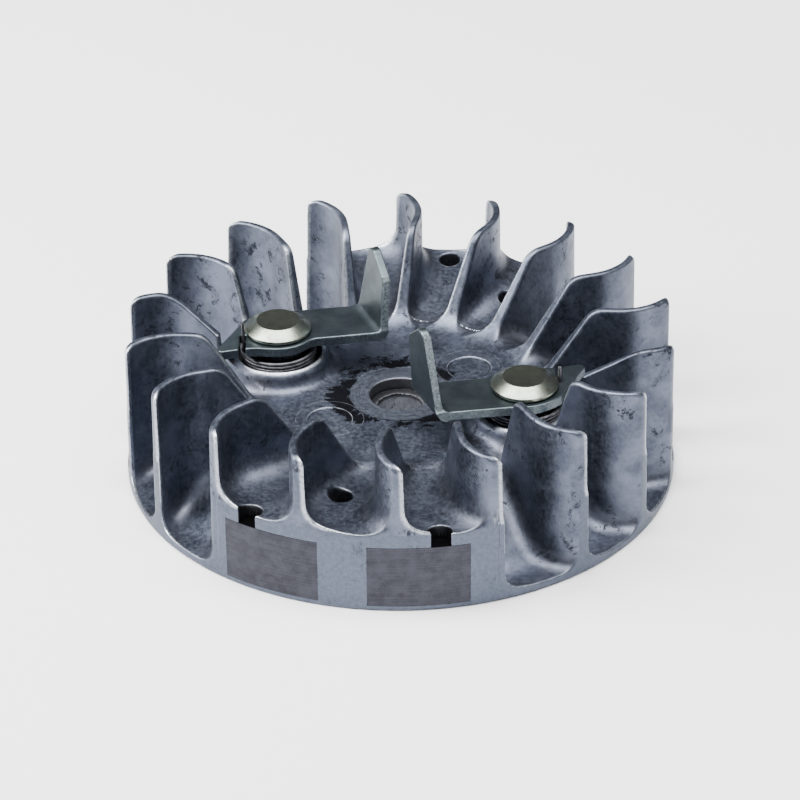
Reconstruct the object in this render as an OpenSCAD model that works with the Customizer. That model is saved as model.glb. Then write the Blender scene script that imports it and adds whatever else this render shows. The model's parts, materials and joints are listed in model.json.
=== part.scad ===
// Finned flywheel with two sprung starter pawls, for a small two-stroke engine.
// Millimetres. The crank axis is Z and the rim's lower face lies on Z = 0.
// The magnet side faces -Y, the counterweight side +Y. The pawls are drawn at rest.

/* [Rotor] */
// Outside diameter over the turned rim, pole faces and blades
outer_d = 110; // [104:0.5:116]
// Height of the web's upper face at the hub
floor_z = 15.3; // [13:0.1:18]
// Thickness of the web and of the cone under it
wall = 3.0; // [2.4:0.1:4]
// Thickness of the thin flange at the foot of the rim
flange_t = 1.6; // [1.2:0.1:3]
// Radius where the web rolls over into the cone
shoulder_r = 29.5; // [28:0.5:34]
// Radius where the cone runs into the flange
flange_r = 48; // [45:0.5:51]

/* [Blades] */
// Height of the blade tips
blade_top = 31.9; // [28:0.1:34]
// Thickness of a blade
blade_t = 1.8; // [1.4:0.1:2.6]
// Radius of the curled outer half of a blade
curl_r = 11.8; // [10:0.1:14]
// Radius of the turned corner at each blade's upper tip
tip_r = 2; // [0.5:0.1:3]

/* [Solid sectors] */
// Lip height of the magnet sector
magnet_lip = 16.8; // [15.5:0.1:19]
// Lip height of the counterweight sector
counter_lip = 18.1; // [15.5:0.1:19]
// Diameter of the drilled hole in the magnet sector
drill_d = 4.7; // [3:0.1:6]
// Diameter of the balance holes in the counterweight sector
balance_d = 4.2; // [3:0.1:6]

/* [Pole shoes and magnet] */
// Height of the top of the pole shoes
shoe_top = 14.2; // [12:0.1:15]
// Height of the bottom of the pole shoes
shoe_low = 1; // [0.8:0.1:2]
// Radial depth of the pole shoes
shoe_depth = 11.5; // [8:0.5:13]
// Diameter of the core holes above the shoes, which break out through the rim
window_d = 4.5; // [3:0.1:5]

/* [Hub] */
// Diameter of the crank stub bore
bore_d = 9; // [8:0.1:10]
// Diameter of the counterbore round the bore
counterbore_d = 12.2; // [10.5:0.1:13]
// Diameter of the spot face for the crank nut
seat_d = 20.8; // [18:0.1:23]
// Large diameter of the crank taper at the back
taper_d = 11.4; // [10:0.1:13]
// Outside diameter of the hub boss at the back
hub_d = 30; // [26:0.5:34]

/* [Pawls] */
// Distance of each pivot stud from the crank axis
stud_orbit = 27.05; // [25:0.05:29]
// Height of the underside of the pawl plate
plate_z = 21.5; // [20.5:0.1:23]
// Thickness of the pawl blank
plate_t = 2; // [1.5:0.1:2.5]
// Height of the top of the pawl's upturned lug
lug_top = 39.5; // [36:0.1:42]
// Outside diameter of the pawl spring
spring_d = 15.4; // [13:0.1:16.5]
// Diameter of the spring wire
wire_d = 0.75; // [0.6:0.05:1.2]
// Diameter of the stud's head
head_d = 13.4; // [11:0.1:14]
// Diameter of the stud's shoulder, which the pawl turns on
shoulder_d = 8; // [6:0.1:9]
// Diametral running clearance between the pawl and the shoulder
run_gap = 0.12; // [0.04:0.02:0.18]

/* [Hidden] */
$fn = 64;
R = outer_d / 2;
N_BLADES = 18;
PITCH = 360 / N_BLADES;
STUD_ANGLE = 165.2;
seat_z = floor_z - 0.2;
counterbore_z = floor_z - 2.8;
hub_back = 1;
taper_z = 8;
boss_r = 9.9;
boss_top = 19;
boss_floor = 16;
pocket_r = 8.7;
post_r = 5.2;
post_top = plate_z - 0.3;
thread_r = 3;
head_low = plate_z + plate_t + 0.25;
coil_r = (spring_d - wire_d) / 2;
LEG_A = 224;
ANCHOR_A = 300;
leg_r = 7.35;
TURNS = 5;
// Lead angle of the straight inner half of a blade, and where the curl starts.
BLADE_A = -13.4;
curl_x = 43.3;
curl_y = -3.4;
curl_cx = curl_x - curl_r * sin(BLADE_A);
curl_cy = curl_y + curl_r * cos(BLADE_A);
// Pawl outline corners, stud axis at the origin, crank axis towards +X.
TAIL_OUT = [-7.9, -12.5];
TAIL_IN = [-8.1, 0.5];
BEND_FAR = [10.05, 15.5];
BEND_NEAR = [19.25, 7.4];
BEND_L = norm(BEND_NEAR - BEND_FAR);
BEND_A = atan2(BEND_NEAR[1] - BEND_FAR[1], BEND_NEAR[0] - BEND_FAR[0]);
LUG_T = plate_t - 0.25;
LUG_OUT = LUG_T * [-sin(BEND_A), cos(BEND_A)];
// The plate runs on into the lug and stops just inside its faces.
INSET = 0.08 * [cos(BEND_A), sin(BEND_A)];

STEEL = [0.47, 0.52, 0.51];
ALU = [0.62, 0.66, 0.72];
CORE = [0.50, 0.51, 0.53];
STUD = [0.66, 0.67, 0.60];
WIRE = [0.20, 0.20, 0.21];
MAGNET = [0.30, 0.30, 0.32];

// ---- placing helpers ----

module at_left() rotate([0, 0, STUD_ANGLE]) translate([stud_orbit, 0, 0]) rotate([0, 0, 180]) children();
module at_right() rotate([0, 0, 180]) at_left() children();
module both_studs() { at_left() children(); at_right() children(); }
module at_polar(r, a, z = 0) rotate([0, 0, a]) translate([r, 0, z]) children();
module rod(r, z0, z1) translate([0, 0, z0]) cylinder(r = r, h = z1 - z0);

// ---- blades ----

// One blade's plan, swept up from under the flange: a straight root, thicker inwards, and a curled tip.
module blade_sweep() {
    z0 = 0.6;
    h = blade_top + 1 - z0;
    a = blade_t / 2 + 0.35;
    b = blade_t / 2 + 0.1;
    translate([curl_x, curl_y, z0]) rotate([0, 0, BLADE_A])
        linear_extrude(height = h) polygon([[-17, -a], [0.8, -b], [0.8, b], [-17, a]]);
    translate([curl_cx, curl_cy, z0])
        rotate_extrude(start = BLADE_A - 90, angle = 72)
            translate([curl_r - blade_t / 2, 0]) square([blade_t, h]);
}

// The zone a blade may fill, turned about the crank axis. inner lists [r, z] up its inner edge.
module blade_zone(inner) {
    tip = [for (a = [0:22.5:90]) [R - tip_r + tip_r * cos(a), blade_top - tip_r + tip_r * sin(a)]];
    rotate_extrude() polygon(concat(inner, [for (i = [4:-1:0]) tip[i]],
        [[R, 0.6], [flange_r - 0.5, 0.6], [shoulder_r + 2, 12.6], [inner[0][0], 12.6]]));
}

// Inner edges: the usual slope, and three steeper or cut-back ones that clear the pawl tails.
USUAL = [[28.3, 12.6], [28.3, 15.2], [38.6, blade_top]];
BESIDE = [[32, 12.6], [33.6, 19], [37.6, blade_top]];
STEEP = [[34, 12.6], [36.2, 19], [37.6, 23.5], [40.3, blade_top]];
RELIEVED = [[29, 12.6], [30.4, 16], [36.9, 20.6], [37.1, 24.2], [47.8, blade_top]];

function edge_of(k) =
    let (a = (k * PITCH) % 180)
    a == 0 ? RELIEVED : a == 160 ? STEEP : a == 140 ? BESIDE : USUAL;

module blade(k) {
    intersection() {
        rotate([0, 0, k * PITCH]) blade_sweep();
        blade_zone(edge_of(k));
    }
}

// ---- solid sectors ----

// Centre line of a blade in plan, from the hub side out past the rim.
LINE = concat(
    [[20, curl_y - (curl_x - 20) * tan(BLADE_A)]],
    [for (a = [BLADE_A - 90:12:BLADE_A - 30]) [curl_cx + curl_r * cos(a), curl_cy + curl_r * sin(a)]]);

function turned(p, a) = [p[0] * cos(a) - p[1] * sin(a), p[0] * sin(a) + p[1] * cos(a)];

// Plan of the ground between two blades, bounded by their centre lines.
module between(a0, a1) {
    mid = (a0 + a1) / 2;
    linear_extrude(height = 30)
        polygon(concat([for (p = LINE) turned(p, a0)],
                       [[80 * cos(mid - 20), 80 * sin(mid - 20)], [80 * cos(mid + 20), 80 * sin(mid + 20)]],
                       [for (i = [len(LINE) - 1:-1:0]) turned(LINE[i], a1)]));
}

module solid_sector(a0, a1, lip) {
    intersection() {
        rotate_extrude()
            polygon([[28, 12], [34, 0], [R, 0], [R, lip], [33, floor_z], [28, floor_z]]);
        between(a0, a1);
    }
}

// ---- rotor casting ----

// Web, cone and flange as one turned solid, still filled underneath.
module disc() {
    rotate_extrude()
        polygon([[0, hub_back], [hub_d / 2, hub_back], [hub_d / 2, 5], [30, 5], [40, 0], [R, 0],
                 [R, flange_t], [flange_r + 1.5, flange_t], [flange_r, flange_t + 0.5],
                 [flange_r - 1.6, flange_t + 1.8], [shoulder_r + 3, floor_z - 1.6],
                 [shoulder_r + 1.7, floor_z - 0.5], [shoulder_r, floor_z], [0, floor_z]]);
}

// The turned hollow under the web.
module hollow() {
    top = floor_z - wall;
    rotate_extrude()
        polygon([[hub_d / 2, -1], [hub_d / 2, top - 1.5], [hub_d / 2 + 1.5, top], [shoulder_r - 1.5, top],
                 [shoulder_r + 0.8, top - 1], [flange_r - 4.2, 1.4], [flange_r - 2.6, 0], [flange_r - 2.6, -1]]);
}

// A round boss with draught on its side and its top edge rounded over.
module spring_boss() {
    rotate_extrude()
        polygon([[0, 8.6], [boss_r + 0.95, 8.6], [boss_r + 0.95, floor_z - 0.6], [boss_r + 0.2, boss_top - 1.2],
                 [boss_r - 0.2, boss_top - 0.4], [boss_r - 0.9, boss_top], [0, boss_top]]);
}

module spring_pocket() {
    difference() {
        rod(pocket_r, boss_floor, 60);
        rod(post_r, boss_floor - 1, post_top);
    }
    rod(thread_r, 6, 60);
    rotate([0, 0, ANCHOR_A]) translate([coil_r, 0, 0]) rod(wire_d / 2 + 0.1, boss_floor - 2.2, boss_floor + 1);
}

// Core hole above one pole shoe, open at the rim.
module shoe_window(a) at_polar(53.5, a) rod(window_d / 2, shoe_top, 30);

module ring_mark(a) {
    at_polar(17, a) {
        rod(4.3, floor_z - 0.2, floor_z + 1);
        difference() {
            rod(6.85, floor_z - 0.2, floor_z + 1);
            rod(6.55, floor_z - 1, floor_z + 2);
        }
    }
}

module crank_hole() {
    rod(bore_d / 2, 0, 20);
    rod(counterbore_d / 2, counterbore_z, 20);
    rod(seat_d / 2, seat_z, 20);
    translate([0, 0, hub_back - 0.01])
        cylinder(d1 = taper_d, d2 = bore_d, h = taper_z - hub_back + 0.01);
}

module rotor_casting() color(ALU) {
    difference() {
        union() {
            difference() {
                union() {
                    disc();
                    both_studs() spring_boss();
                    solid_sector(-120, -60, magnet_lip);
                    solid_sector(60, 120, counter_lip);
                }
                difference() {
                    hollow();
                    difference() {
                        union() {
                            between(-120, -60);
                            between(60, 120);
                        }
                        rod(29.5, -1, 40);
                    }
                    both_studs() rod(7.5, 5.3, 40);
                }
            }
            for (k = [0:N_BLADES - 1]) blade(k);
        }
        both_studs() spring_pocket();
        crank_hole();
        shoe_blank(-106.9);
        shoe_blank(-76.15);
        magnet_blank();
        shoe_window(-112.0);
        shoe_window(-71.7);
        at_polar(40.5, -96.2) rod(drill_d / 2, -1, 30);
        at_polar(51.4, 88.6) rod(balance_d / 2, 8, 30);
        at_polar(42.3, 68) rod(balance_d / 2, 8, 30);
        ring_mark(45);
        ring_mark(225);
    }
}

// ---- pole shoes and magnet ----

// A shoe's outline: 20.8 degrees of rim, ground with it.
module shoe_blank(a) {
    rotate_extrude(start = a - 10.4, angle = 20.8)
        translate([R - shoe_depth, shoe_low]) square([shoe_depth, shoe_top - shoe_low]);
}

// The magnet stands between the shoes and is let into both.
module magnet_blank() {
    rotate([0, 0, -91.55]) translate([44.6, -4.7, 1.9]) cube([6.6, 9.4, 11.4]);
}

module pole_shoe_leading() color(CORE) difference() { shoe_blank(-106.9); magnet_blank(); }
module pole_shoe_trailing() color(CORE) difference() { shoe_blank(-76.15); magnet_blank(); }
module ignition_magnet() color(MAGNET) magnet_blank();

// ---- pawls ----

module plate_outline() {
    circle(r = 7.6);
    polygon([TAIL_OUT + [0.7, 0], TAIL_OUT + [0, 0.7], TAIL_IN, [-7.0, 2.4], [-4.2, 6.1],
             BEND_FAR + INSET, BEND_FAR + INSET + 0.9 * LUG_OUT, BEND_NEAR - INSET + 0.9 * LUG_OUT,
             BEND_NEAR - INSET, [7.4, -0.6], [0.8, -7.4], [-2.4, -9.2], TAIL_OUT + [1.6, 0.15]]);
}

// The lug, drawn in its own plane: X along the bend, Y up.
module lug_outline() {
    h = lug_top - plate_z;
    polygon(concat([[0, -1], [BEND_L, -1], [BEND_L, h - 4.6], [BEND_L - 0.6, h - 3.6]],
                   [for (a = [50:20:90]) [6.5 + 1.6 * cos(a), h - 1.6 + 1.6 * sin(a)]],
                   [for (a = [105:20:165]) [6.2 + 1.9 * cos(a), h - 1.9 + 1.9 * sin(a)]]));
}

module pawl() {
    difference() {
        union() {
            translate([0, 0, plate_z - 1]) linear_extrude(height = plate_t + 1) plate_outline();
            translate([BEND_FAR[0], BEND_FAR[1], plate_z]) rotate([0, 0, BEND_A])
                rotate([87, 0, 0]) mirror([0, 0, 1])
                    linear_extrude(height = LUG_T) lug_outline();
        }
        rod((shoulder_d + run_gap) / 2, 0, 60);
        rotate([0, 0, LEG_A]) translate([leg_r, 0, 0]) {
            rod(0.7, 0, 60);
            rotate([0, 0, 70]) translate([0, -0.7, 0]) cube([8, 1.4, 60]);
        }
        translate([-60, -60, plate_z - 20]) cube([120, 120, 20]);
    }
}

module starter_pawl_left() color(STEEL) at_left() pawl();
module starter_pawl_right() color(STEEL) at_right() pawl();

// ---- studs ----

module stud() {
    rotate_extrude()
        polygon([[0, 7], [thread_r - 0.6, 7], [thread_r, 7.6], [thread_r, post_top], [shoulder_d / 2, post_top],
                 [shoulder_d / 2, head_low], [head_d / 2 - 0.2, head_low], [head_d / 2, head_low + 0.25],
                 [head_d / 2, head_low + 0.55], [4.2, head_low + 2.15], [0, head_low + 2.15]]);
}

module pivot_stud_left() color(STUD) at_left() stud();
module pivot_stud_right() color(STUD) at_right() stud();

// ---- springs ----

// The coil is drawn as stacked turns, with one leg in the boss and one up past the pawl.
module spring() {
    w = wire_d / 2;
    z0 = boss_floor + w + 0.25;
    for (i = [0:TURNS - 1])
        translate([0, 0, z0 + i * wire_d * 0.97])
            rotate_extrude() translate([coil_r, 0]) circle(r = w);
    rotate([0, 0, ANCHOR_A]) translate([coil_r, 0, 0]) rod(w, boss_floor - 2, z0);
    rotate([0, 0, LEG_A]) translate([leg_r, 0, 0]) rod(w * 0.92, z0 + 2.5, plate_z + 5.1);
}

module pawl_spring_left() color(WIRE) at_left() spring();
module pawl_spring_right() color(WIRE) at_right() spring();

// ---- show one node or all ----

rotor_casting();
pole_shoe_leading();
pole_shoe_trailing();
ignition_magnet();
starter_pawl_left();
starter_pawl_right();
pivot_stud_left();
pivot_stud_right();
pawl_spring_left();
pawl_spring_right();
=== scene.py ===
"""Looks of the finned flywheel: cast rotor, laminated pole shoes, two sprung starter pawls.

Shapes are worked out in millimetres and stored in metres. The casting and the pawls are each
one signed distance field, so that their fillets and worn edges are real shape.
"""

import json
import math

import bpy
import numpy as np
from mathutils import Matrix, Vector


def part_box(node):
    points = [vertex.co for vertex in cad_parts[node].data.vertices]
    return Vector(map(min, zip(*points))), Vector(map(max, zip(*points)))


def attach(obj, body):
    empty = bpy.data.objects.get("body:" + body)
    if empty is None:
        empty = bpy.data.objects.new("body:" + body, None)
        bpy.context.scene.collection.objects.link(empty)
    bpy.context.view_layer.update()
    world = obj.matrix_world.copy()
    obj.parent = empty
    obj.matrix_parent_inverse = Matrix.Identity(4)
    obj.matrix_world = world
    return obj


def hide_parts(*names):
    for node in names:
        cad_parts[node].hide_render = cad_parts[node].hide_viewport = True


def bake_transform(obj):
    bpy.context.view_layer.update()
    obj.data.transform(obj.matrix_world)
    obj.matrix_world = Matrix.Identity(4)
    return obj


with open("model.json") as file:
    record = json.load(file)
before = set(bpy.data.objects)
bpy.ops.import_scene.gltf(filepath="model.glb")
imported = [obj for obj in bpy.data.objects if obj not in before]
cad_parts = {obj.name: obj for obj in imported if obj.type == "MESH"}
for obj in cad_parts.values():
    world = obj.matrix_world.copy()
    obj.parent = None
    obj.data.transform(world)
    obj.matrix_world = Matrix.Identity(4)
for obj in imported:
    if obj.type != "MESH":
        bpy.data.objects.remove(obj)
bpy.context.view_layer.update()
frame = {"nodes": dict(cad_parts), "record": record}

# ---- sizes, in millimetres, from the frame where it holds them ----

MM = 0.001


def node_box(node):
    """Lowest and highest corner of a CAD node, in millimetres."""
    return [[c / MM for c in corner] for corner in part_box(node)]


CASTING = node_box("rotor_casting")
SHOE = node_box("pole_shoe_leading")
SPRING = node_box("pawl_spring_left")
STUD = node_box("pivot_stud_left")
PAWL = node_box("starter_pawl_left")
JOINTS = frame["record"]["behaviour"]["joints"]
MOUNTS = {m["name"]: m for m in frame["record"]["mounts"]}
STUD_SPOTS = [(joint["pos_m"][0] / MM, joint["pos_m"][1] / MM) for joint in JOINTS]

RIM = CASTING[1][0]
BLADE_TOP = CASTING[1][2]
# Upper faces of the web and of the flange.
FLOOR = 15.3
FLANGE = 1.6
BORE_R = MOUNTS["crank_bore"]["dims"]["r_mm"]
# The pawls' flat plate: its lower face and its thickness.
PLATE = 21.5
PLATE_T = 2.0
# The room for each spring, the post in it and the stud's shoulder.
POCKET_R = 8.7
POCKET_FLOOR = 16.0
POST_R = 5.2
POST_TOP = 21.2
SHOULDER_R = 4.0
# The springs: coil, upright leg and the leg held in the boss, with angles in pawl axes.
COIL_R = 7.325
LEG_TURN = math.radians(224)
LEG_R = 7.35
ANCHOR_TURN = math.radians(300)
WIRE_R = 0.375
WIRE_PITCH = 0.765
WIRE_TURNS = 5
# The pole shoes: where each is centred, half its width and how deep it goes in from the rim.
SHOE_CENTRES = (math.radians(-106.9), math.radians(-76.15))
SHOE_HALF = math.radians(10.4)
SHOE_DEPTH = 11.5
SHOE_TOP = SHOE[1][2]

# ---- signed distance pieces: negative inside, everything in millimetres ----


def join(a, b, fillet):
    """Union of two solids with a fillet of about this radius between them."""
    k = 1.17 * fillet
    h = np.maximum(k - np.abs(a - b), 0) / k
    return np.minimum(a, b) - h * h * k / 4


def both(a, b, round_r):
    """Intersection of two solids, its new edge rounded to about this radius."""
    return -join(-a, -b, round_r)


def cut(a, b, round_r):
    """a with b taken out, the edge rounded."""
    return both(a, -b, round_r)


def polar(radius, angle):
    """Plan position of a point at a radius and an angle."""
    return radius * math.cos(angle), radius * math.sin(angle)


def turned(x, y, angle):
    """Coordinates of the same points in axes turned by angle about Z."""
    c, s = np.cos(angle), np.sin(angle)
    return x * c + y * s, y * c - x * s


def outline_distance(x, y, points):
    """Signed distance to a closed polygon."""
    best = np.full(np.broadcast(x, y).shape, 1e9)
    inside = np.zeros(best.shape, bool)
    for (ax, ay), (bx, by) in zip(points, points[1:] + points[:1]):
        ex, ey = bx - ax, by - ay
        wx, wy = x - ax, y - ay
        t = np.clip((wx * ex + wy * ey) / (ex * ex + ey * ey), 0, 1)
        best = np.minimum(best, (wx - ex * t) ** 2 + (wy - ey * t) ** 2)
        crosses = (ay > y) != (by > y)
        if ey:
            inside ^= crosses & (wx < wy * ex / ey)
    return np.where(inside, -1, 1) * np.sqrt(best)


# ---- the casting as one field ----

BLADES = 18
PITCH = 2 * math.pi / BLADES
# A blade's centre line: straight, then curled about CURL_C, then straight again to the rim.
BLADE_LEAD = math.radians(-13.4)
CURL_START = np.array([43.3, -3.4])
CURL_R = 11.8
CURL_C = CURL_START + CURL_R * np.array([-math.sin(BLADE_LEAD), math.cos(BLADE_LEAD)])
CURL_END = math.radians(-18)
CURL_LAST = CURL_C + CURL_R * np.array([math.cos(CURL_END), math.sin(CURL_END)])
# Half a blade's thickness at its top, and what it gains per millimetre down and inwards.
BLADE_HALF = 0.78
BLADE_DRAFT = 0.012
ROOT_SWELL = 0.035
SWELL_FROM = 40
BLADE_LOW = 1.2
TIP_R = 2.0
# A point counts as a blade's own from this angle short of the blade's axis.
TURN_LEAD = 0.09
CONE_SLOPE = 0.741
CONE_COS = 1 / math.hypot(1, CONE_SLOPE)
CONE_AT = (32.5, 13.7)
CONE_UNDER_AT = (30.3, 11.3)
RECESS_TOP = 12.3
HUB_R = 15.0
HUB_BACK = 1.0
SEAT_R = 10.4
COUNTERBORE_R = 6.1
COUNTERBORE_Z = 12.5
TAPER_TOP = 8.0
TAPER_SLOPE = 0.171
BOSS_R = 9.9
BOSS_LOW = 5
BOSS_TOP = 19.0
BOSS_DRAFT = 0.22
BOSS_ROUND = 1.5
FOOT_R = 7.5
FOOT_Z = 5.3
THREAD_R = 3.0
THREAD_LOW = 7
POST_LOW = 8
ROOT_FILLET = 3.0
SECTOR_FILLET = 4.8
# The two solid sectors, on -Y beside the magnet and on +Y as a counterweight. Their floor rises
# from LIP_FROM out to a lip at the rim.
SECTOR_HALF = math.radians(30)
SECTOR_FROM = 29
LIP_FROM = 33
MAGNET_LIP = 16.8
COUNTER_LIP = 18.1
# The rim is turned up to DRAFT_FROM. Above it the blades are as cast, a little further in.
DRAFT_FROM = 17.0
DRAFT = 0.006
AS_CAST_STEP = 0.06
# Holes as distance from the crank axis, angle and radius.
DRILLED = (40.5, math.radians(-96.2), 2.35)
BALANCE = ((51.4, math.radians(88.6), 2.1), (42.3, math.radians(68), 2.1))
BALANCE_LOW = 8
WINDOWS = ((53.5, math.radians(-112.0), 2.25), (53.5, math.radians(-71.7), 2.25))
# The room for a pole shoe is smaller than the shoe all round, so that no gap shows between them.
SHOE_LAP = 0.4
SHOE_MIDDLE = 7.6
SHOE_ROOM = 6.2
# Round marks left in the web by the die's ejector pins.
MARK_ORBIT = 17.0
MARKS = (math.radians(45), math.radians(225))
MARK_R = 4.4
MARK_RING_R = 6.75
# How far out a blade's inner edge lies, as heights and radii from the root up.
USUAL, BESIDE, STEEP, RELIEVED = range(4)
INNER_EDGES = {
    USUAL: ([15.2, BLADE_TOP], [28.3, 38.6]),
    BESIDE: ([12.6, 19, BLADE_TOP], [32, 33.6, 37.6]),
    STEEP: ([12.6, 19, 23.5, BLADE_TOP], [34, 36.2, 37.6, 40.3]),
    RELIEVED: ([12.6, 16, 20.6, 24.2, BLADE_TOP], [29, 30.4, 36.9, 37.1, 47.8]),
}
EDGE_OF = {0: RELIEVED, 8: STEEP, 7: BESIDE}
EDGE_KIND = np.array([EDGE_OF.get(k % 9, USUAL) for k in range(BLADES)])


def blade_side(x, y):
    """Signed distance to the blades' centre line in blade axes, positive counterclockwise of it."""
    along, across = turned(x - CURL_START[0], y - CURL_START[1], BLADE_LEAD)
    arc = CURL_R - np.hypot(x - CURL_C[0], y - CURL_C[1])
    outward, past = turned(x - CURL_LAST[0], y - CURL_LAST[1], CURL_END)
    return np.where(along < 0, across, np.where(past > 0, -outward, arc))


def blade_edge(kind, r, z):
    """How far a point lies inboard of the blade's inner edge."""
    radius = sum(np.where(kind == k, np.interp(z, *INNER_EDGES[k]), 0) for k in INNER_EDGES)
    return (radius - r) * 0.87


def blades(x, y, z, r, turn):
    """The blades: the one at or clockwise of each point, and the next one."""
    below = np.floor((turn + TURN_LEAD) / PITCH)
    half = BLADE_HALF + BLADE_DRAFT * (BLADE_TOP - z) + ROOT_SWELL * np.maximum(SWELL_FROM - r, 0)
    corner_r = np.maximum(r - (RIM - DRAFT * (BLADE_TOP - DRAFT_FROM) - TIP_R), 0)
    corner_z = np.maximum(z - (BLADE_TOP - TIP_R), 0)
    top = np.hypot(corner_r, corner_z) - TIP_R
    found = None
    for step in (0, 1):
        index = below + step
        bx, by = turned(x, y, index * PITCH)
        sheet = np.abs(blade_side(bx, by)) - half
        kind = EDGE_KIND[index.astype(int) % BLADES]
        profile = both(blade_edge(kind, r, z), top, 1.8)
        blade = both(sheet, profile, 0.55)
        found = blade if found is None else np.minimum(found, blade)
    return found


def sector(x, y, lip, z, r):
    """Plan of the solid ground between two blades on -Y, and how far a point is above its floor."""
    first = blade_side(*turned(x, y, -math.pi / 2 - SECTOR_HALF))
    last = blade_side(*turned(x, y, -math.pi / 2 + SECTOR_HALF))
    plan = np.maximum(np.maximum(-first, last), y + 5)
    return plan, z - FLOOR - np.maximum(r - LIP_FROM, 0) * (lip - FLOOR) / (RIM - LIP_FROM)


def stepped(value, width):
    """0 below -width, 1 above width, smooth between."""
    t = np.clip(0.5 + 0.5 * value / width, 0, 1)
    return t * t * (3 - 2 * t)


def floor_level(x, y, r):
    """Height of the web's upper face, with the spot face and the ejector marks let into it."""
    level = FLOOR - 0.13 * stepped(SEAT_R - r, 0.45)
    for angle in MARKS:
        mx, my = polar(MARK_ORBIT, angle)
        away = np.hypot(x - mx, y - my)
        level = level - 0.2 * stepped(MARK_R - away, 0.3)
        level = level - 0.05 * (1 - np.clip(np.abs(away - MARK_RING_R) / 0.45, 0, 1))
    return level


def disc(z, r, level):
    """Web, cone and flange, solid down to the rim's lower face."""
    cone = (z - CONE_AT[1] + CONE_SLOPE * (r - CONE_AT[0])) * CONE_COS
    upper = join(both(z - level, cone, 1.4), z - FLANGE, 1.5)
    return np.maximum(upper, -z)


def hollow_under(x, y, z, r, solid_plan):
    """The room under the web, round the solid sectors, the hub and the stud bosses' feet."""
    under = (z - CONE_UNDER_AT[1] + CONE_SLOPE * (r - CONE_UNDER_AT[0])) * CONE_COS
    room = both(both(z - RECESS_TOP, under, 1.5), HUB_R - r, 1.5)
    room = both(room, np.minimum(r - 29.5, -solid_plan), 0.8)
    for sx, sy in STUD_SPOTS:
        foot = both(np.hypot(x - sx, y - sy) - FOOT_R, FOOT_Z - z, 0.5)
        room = cut(room, foot, 0.8)
    return np.minimum(room, np.maximum(z - HUB_BACK, r - HUB_R - 0.5))


def rotor_field(x, y, z):
    """The whole casting."""
    r = np.hypot(x, y)
    turn = np.arctan2(y, x)
    fins = np.maximum(blades(x, y, z, r, turn), BLADE_LOW - z)
    near_plan, near_floor = sector(x, y, MAGNET_LIP, z, r)
    far_plan, far_floor = sector(-x, -y, COUNTER_LIP, z, r)
    body = disc(z, r, floor_level(x, y, r))
    for sx, sy in STUD_SPOTS:
        off_axis = np.hypot(x - sx, y - sy)
        side = off_axis - BOSS_R - np.clip(BOSS_TOP - z, 0, 4) * BOSS_DRAFT
        boss = both(np.maximum(side, BOSS_LOW - z), z - BOSS_TOP, BOSS_ROUND)
        body = join(body, boss, 1.8)
    body = join(body, fins, ROOT_FILLET)
    fillet = ROOT_FILLET + (SECTOR_FILLET - ROOT_FILLET) * stepped(r - 35, 5)
    for plan, over_floor in ((near_plan, near_floor), (far_plan, far_floor)):
        ground = np.maximum(np.maximum(plan, SECTOR_FROM - r), join(over_floor, fins, fillet))
        body = np.minimum(body, ground)
    body = cut(body, hollow_under(x, y, z, r, np.minimum(near_plan, far_plan)), 0.6)
    for sx, sy in STUD_SPOTS:
        off_axis = np.hypot(x - sx, y - sy)
        pocket = np.maximum(off_axis - POCKET_R, POCKET_FLOOR - z)
        post = np.maximum(off_axis - POST_R, z - POST_TOP)
        body = cut(body, pocket, 0.35)
        body = np.minimum(body, np.maximum(post, POST_LOW - z))
        body = np.maximum(body, -np.maximum(off_axis - THREAD_R, THREAD_LOW - z))
    above = np.maximum(z - DRAFT_FROM, 0)
    as_cast = np.clip(above / 1.5, 0, 1)
    body = both(body, r - RIM + AS_CAST_STEP * as_cast + DRAFT * above, 0.3 + 0.35 * as_cast)
    body = both(body, -z, 0.3)
    return drilled(body, x, y, z, r)


def drilled(body, x, y, z, r):
    """The bore, the drilled and cored holes, and the rooms for the pole shoes."""
    taper = r - BORE_R - np.maximum(TAPER_TOP - z, 0) * TAPER_SLOPE
    body = cut(body, np.minimum(taper, np.maximum(r - COUNTERBORE_R, COUNTERBORE_Z - z)), 0.35)
    hx, hy = polar(*DRILLED[:2])
    body = cut(body, np.hypot(x - hx, y - hy) - DRILLED[2], 0.35)
    for radius, angle, hole_r in BALANCE:
        hx, hy = polar(radius, angle)
        body = cut(body, np.maximum(np.hypot(x - hx, y - hy) - hole_r, BALANCE_LOW - z), 0.3)
    for radius, angle, hole_r in WINDOWS:
        wx, wy = turned(x, y, angle)
        window = np.hypot(wx - radius, wy) - hole_r
        body = cut(body, np.maximum(window, SHOE_TOP - SHOE_LAP - z), 0.3)
    for centre in SHOE_CENTRES:
        wx, wy = turned(x, y, centre)
        ends = np.abs(np.arctan2(wy, wx)) * r - (SHOE_HALF * r - SHOE_LAP)
        back = RIM - SHOE_DEPTH + SHOE_LAP - r
        room = np.maximum(np.maximum(ends, back), np.abs(z - SHOE_MIDDLE) - SHOE_ROOM)
        body = np.maximum(body, -np.maximum(room, -wx))
    return body


# ---- from field to mesh ----

CORNERS = [(i, j, k) for i in (0, 1) for j in (0, 1) for k in (0, 1)]
CELL_EDGES = [(a, b) for a in range(8) for b in range(a) if bin(a ^ b).count("1") == 1]


def sampled(field, axes):
    """The field on a grid, worked out a few planes at a time."""
    grid = np.empty([len(a) for a in axes], np.float32)
    gx, gy, gz = axes
    for i in range(0, len(gx), 12):
        x, y = np.meshgrid(gx[i : i + 12], gy, indexing="ij")
        flat = [a.reshape(-1, 1).astype(np.float32) for a in (x, y)]
        values = field(*flat, gz.reshape(1, -1).astype(np.float32))
        grid[i : i + 12] = values.reshape(x.shape + (len(gz),))
    return grid


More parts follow.
